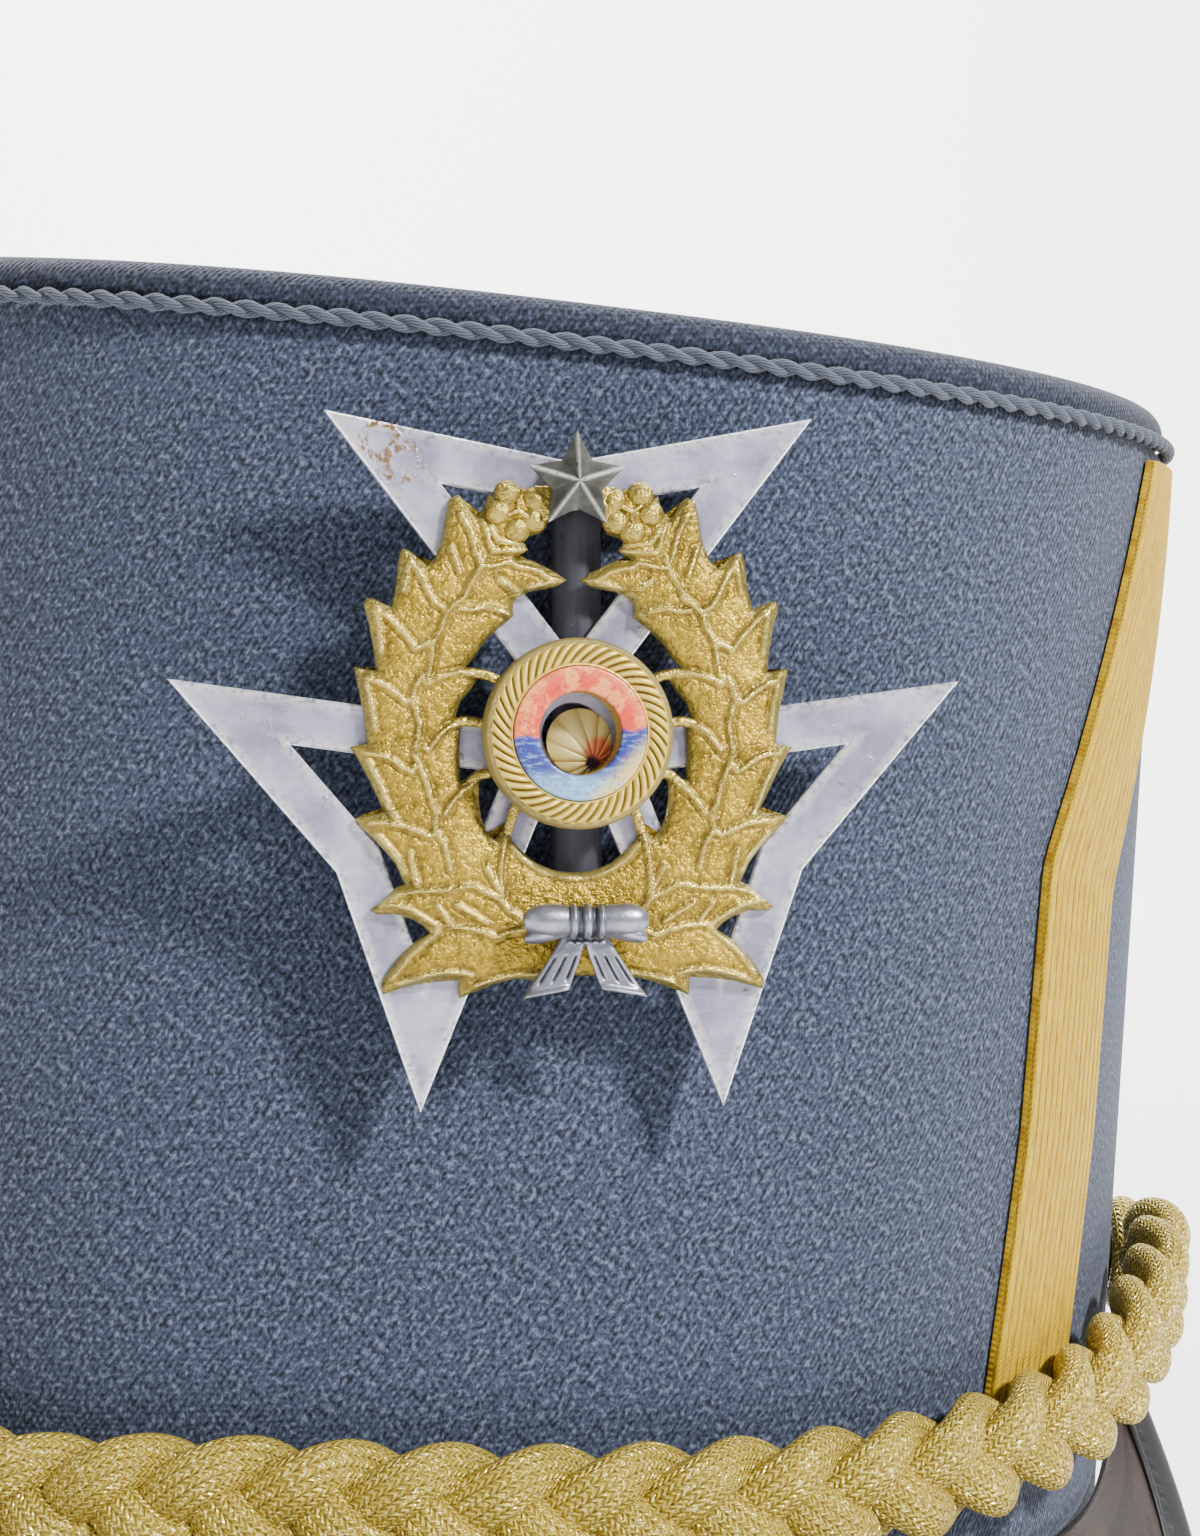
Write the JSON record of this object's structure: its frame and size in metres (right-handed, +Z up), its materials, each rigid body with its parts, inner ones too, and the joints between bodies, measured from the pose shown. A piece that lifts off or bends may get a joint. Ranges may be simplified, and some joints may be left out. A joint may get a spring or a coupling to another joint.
{
  "type": "military dress cap",
  "caption": "Tall oval cloth dress cap with a steep leather visor, a plaited strap, flat braids and a cast wreath badge, hollow for the head.",
  "frame": {"origin": "on the floor under the middle of the cap's box", "axes": "+Z up through the level crown top, -Y towards the cap's front and visor, +X to the viewer's right"},
  "size_m": [0.1861, 0.2496, 0.1502],
  "materials": {
    "cloth": "blue-grey ribbed wool cloth",
    "crown_cloth": "blue-grey ribbed wool cloth",
    "cord": "dark twisted cord",
    "braid": "flat ribbed gold braid",
    "plait": "knitted gold lace cord with a sparkle",
    "visor_leather": "glossy black",
    "binding_leather": "satin black",
    "button_brass": "satin",
    "dark_steel": "dark satin",
    "silver_plate": "worn silver plating with a few stains",
    "wreath_brass": "aged cast brass",
    "medallion_brass": "aged cast brass",
    "enamel": "worn red and blue paint",
    "shell_brass": "fluted, touched with red paint",
    "pewter": "dark satin cast metal",
    "bow_silver": "dull silver"
  },
  "bodies": {
    "root": {"body_shell": "cloth", "crown_top": "crown_cloth", "rim_cord": "cord", "side_braid_left": "braid", "side_braid_right": "braid", "visor": "visor_leather", "visor_binding": "binding_leather", "strap_strand_1": "plait", "strap_strand_2": "plait", "strap_strand_3": "plait", "strap_eye_left": "plait", "strap_eye_right": "plait", "side_button_left": "button_brass", "side_button_right": "button_brass", "plume_socket": "dark_steel", "badge_plate": "silver_plate", "badge_wreath": "wreath_brass", "badge_medallion": "medallion_brass", "enamel_ring": "enamel", "centre_shell": "shell_brass", "badge_star": "pewter", "badge_bow": "bow_silver"}
  },
  "joints": []
}
